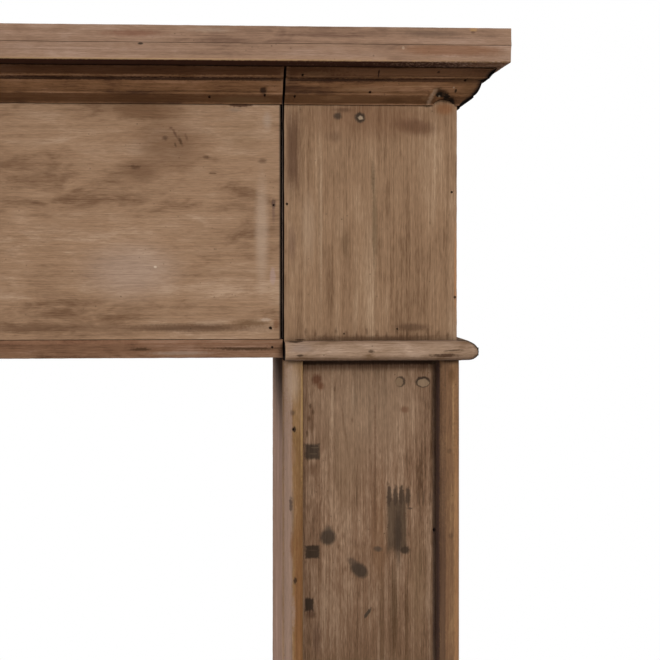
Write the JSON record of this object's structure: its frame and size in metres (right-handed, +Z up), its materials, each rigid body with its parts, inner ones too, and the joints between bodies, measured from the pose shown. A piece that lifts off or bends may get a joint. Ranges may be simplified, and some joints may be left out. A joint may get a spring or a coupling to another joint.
{
  "type": "fireplace mantelpiece",
  "caption": "Aged pine fireplace mantelpiece with a moulded shelf, a plain boxed header and boxed legs with sunk panels and a bullnose collar.",
  "frame": {"origin": "middle of the footprint on the hearth, under the middle of the shelf, at floor level", "axes": "+X along the shelf, to the right of someone facing the front; -Y is the front; +Z up"},
  "size_m": [1.603, 0.264, 1.36],
  "materials": {
    "shelf_pine": "aged pine, waxed and dusty, satin-matt, fine horizontal grain",
    "crown_pine": "aged pine, dark brown stain, satin on the arrises",
    "header_pine": "aged pine, warm grey-brown, horizontal grain with nail holes",
    "block_pine": "aged pine, warm grey-brown, upright grain with plugged holes",
    "collar_pine": "aged pine, rubbed pale on top of the round",
    "side_pine": "aged pine, pinkish grey-brown, upright grain",
    "panel_pine": "aged pine, upright grain, dark stains and plugged holes",
    "stile_pine": "aged pine, orange-brown, rubbed edges"
  },
  "bodies": {
    "root": {"shelf_top_board": "shelf_pine", "shelf_lower_board": "shelf_pine", "header_frieze_board": "header_pine", "header_soffit_board": "header_pine", "header_crown": "crown_pine", "left_leg_inner_side": "side_pine", "left_leg_outer_side": "side_pine", "left_leg_panel": "panel_pine", "left_frieze_block": "block_pine", "left_inner_stile": "stile_pine", "left_outer_stile": "stile_pine", "left_plinth_board": "panel_pine", "left_collar_front": "collar_pine", "left_collar_return": "collar_pine", "left_crown_front": "crown_pine", "left_crown_return": "crown_pine", "right_leg_inner_side": "side_pine", "right_leg_outer_side": "side_pine", "right_leg_panel": "panel_pine", "right_frieze_block": "block_pine", "right_inner_stile": "stile_pine", "right_outer_stile": "stile_pine", "right_plinth_board": "panel_pine", "right_collar_front": "collar_pine", "right_collar_return": "collar_pine", "right_crown_front": "crown_pine", "right_crown_return": "crown_pine"}
  },
  "joints": []
}
